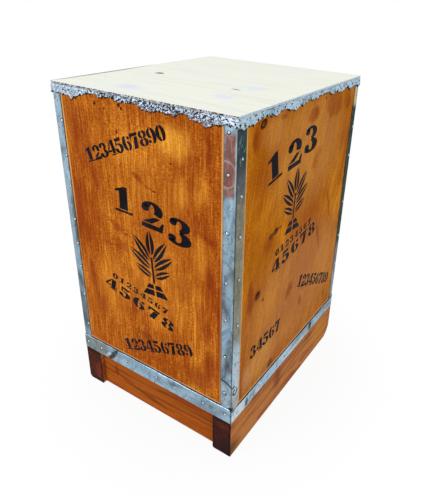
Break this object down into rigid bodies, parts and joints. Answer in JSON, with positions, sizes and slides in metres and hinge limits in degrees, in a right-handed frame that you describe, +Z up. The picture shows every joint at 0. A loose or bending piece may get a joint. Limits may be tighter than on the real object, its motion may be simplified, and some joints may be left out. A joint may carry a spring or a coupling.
{
  "type": "storage chest",
  "caption": "Upright plywood storage chest with folded tin edge strips, a torn foil lining over the rim, a loose lift-off lid and a low timber base.",
  "frame": {"origin": "centre of the footprint, on the floor", "axes": "+Z up; -Y is the front, the narrower face; +X is the right-hand side"},
  "size_m": [0.4072, 0.4822, 0.695],
  "materials": {
    "stained_ply": "orange-brown stain under a satin varnish",
    "pale_ply": "pale bare plywood",
    "raw_pine": "sawn, unfinished",
    "base_timber": "red-brown stain, satin, with dark end grain",
    "tin": "bright tinplate, scratched and dented",
    "foil": "crumpled thin foil",
    "screw_steel": "zinc plated"
  },
  "bodies": {
    "chest": {"wall_front": "stained_ply", "wall_right": "stained_ply", "wall_back": "stained_ply", "wall_left": "stained_ply", "floor_panel": "raw_pine", "post_front_right": "raw_pine", "post_back_right": "raw_pine", "post_back_left": "raw_pine", "post_front_left": "raw_pine", "floor_batten_front": "raw_pine", "floor_batten_right": "raw_pine", "floor_batten_back": "raw_pine", "floor_batten_left": "raw_pine", "rim_batten_front": "raw_pine", "rim_batten_right": "raw_pine", "rim_batten_back": "raw_pine", "rim_batten_left": "raw_pine", "lining_front": "foil", "lining_right": "foil", "lining_back": "foil", "lining_left": "foil", "lining_floor": "foil", "corner_strip_front_right": "tin", "corner_strip_back_right": "tin", "corner_strip_back_left": "tin", "corner_strip_front_left": "tin", "lower_strip_front": "tin", "lower_strip_right": "tin", "lower_strip_back": "tin", "lower_strip_left": "tin", "rim_foil_front": "foil", "rim_foil_right": "foil", "rim_foil_back": "foil", "rim_foil_left": "foil", "runner_left": "base_timber", "runner_right": "base_timber", "base_rail_front": "base_timber", "base_rail_back": "base_timber", "base_screw_left_front": "screw_steel", "base_screw_left_middle": "screw_steel", "base_screw_left_rear": "screw_steel", "base_screw_right_front": "screw_steel", "base_screw_right_middle": "screw_steel", "base_screw_right_rear": "screw_steel"},
    "lid": {"lid_panel": "pale_ply", "lid_cleat_front": "raw_pine", "lid_cleat_back": "raw_pine"}
  },
  "joints": [
    {"name": "lid_lift", "type": "slide", "parent": "chest", "child": "lid", "axis": [0, 0, 1], "range_m": [0, 0.3]}
  ]
}
